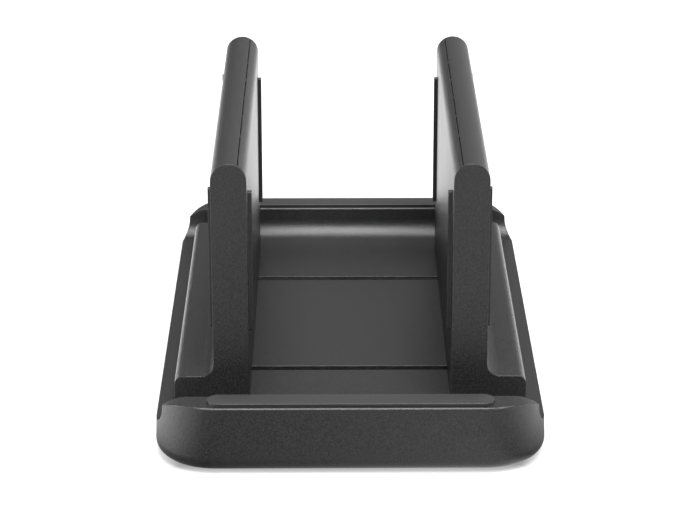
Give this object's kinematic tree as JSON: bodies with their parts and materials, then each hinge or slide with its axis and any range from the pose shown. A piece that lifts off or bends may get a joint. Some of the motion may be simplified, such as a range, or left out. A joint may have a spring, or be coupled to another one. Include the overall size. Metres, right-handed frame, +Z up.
{
  "type": "mini pc holder",
  "caption": "Upright desk stand for a mini PC: a lipped tray with rubber pads, and two L-shaped brackets that slide inwards along floor slots to grip the device.",
  "frame": {"origin": "middle of the tray, on the surface that the feet rest on", "axes": "+Z up, -Y towards the front lip, +X to the right as seen from the front; the tray is longest along Y"},
  "size_m": [0.12, 0.192, 0.0911],
  "materials": {
    "moulded_shell": "charcoal, fine spark-eroded grain, satin to matte",
    "pad_rubber": "dark grey, smooth matte silicone",
    "foot_rubber": "near black, matte",
    "slide_plastic": "black, plain moulded",
    "fixing_steel": "zinc plated"
  },
  "bodies": {
    "tray": {"tray": "moulded_shell", "front_lip_pad": "pad_rubber", "rear_lip_pad": "pad_rubber", "front_left_foot": "foot_rubber", "front_right_foot": "foot_rubber", "rear_left_foot": "foot_rubber", "rear_right_foot": "foot_rubber"},
    "left_bracket": {"left_shell": "moulded_shell", "left_cover": "moulded_shell", "left_front_inner_pad": "pad_rubber", "left_rear_inner_pad": "pad_rubber", "left_front_outer_pad": "pad_rubber", "left_rear_outer_pad": "pad_rubber", "left_slide_bar": "slide_plastic", "left_slide_washers": "fixing_steel", "left_slide_screws": "fixing_steel", "left_cover_screws": "fixing_steel"},
    "right_bracket": {"right_shell": "moulded_shell", "right_cover": "moulded_shell", "right_front_inner_pad": "pad_rubber", "right_rear_inner_pad": "pad_rubber", "right_front_outer_pad": "pad_rubber", "right_rear_outer_pad": "pad_rubber", "right_slide_bar": "slide_plastic", "right_slide_washers": "fixing_steel", "right_slide_screws": "fixing_steel", "right_cover_screws": "fixing_steel"}
  },
  "joints": [
    {"name": "left_slide", "type": "slide", "parent": "tray", "child": "left_bracket", "axis": [1, 0, 0], "range_m": [0, 0.0298]},
    {"name": "right_slide", "type": "slide", "parent": "tray", "child": "right_bracket", "axis": [-1, 0, 0], "range_m": [0, 0.0298]}
  ]
}
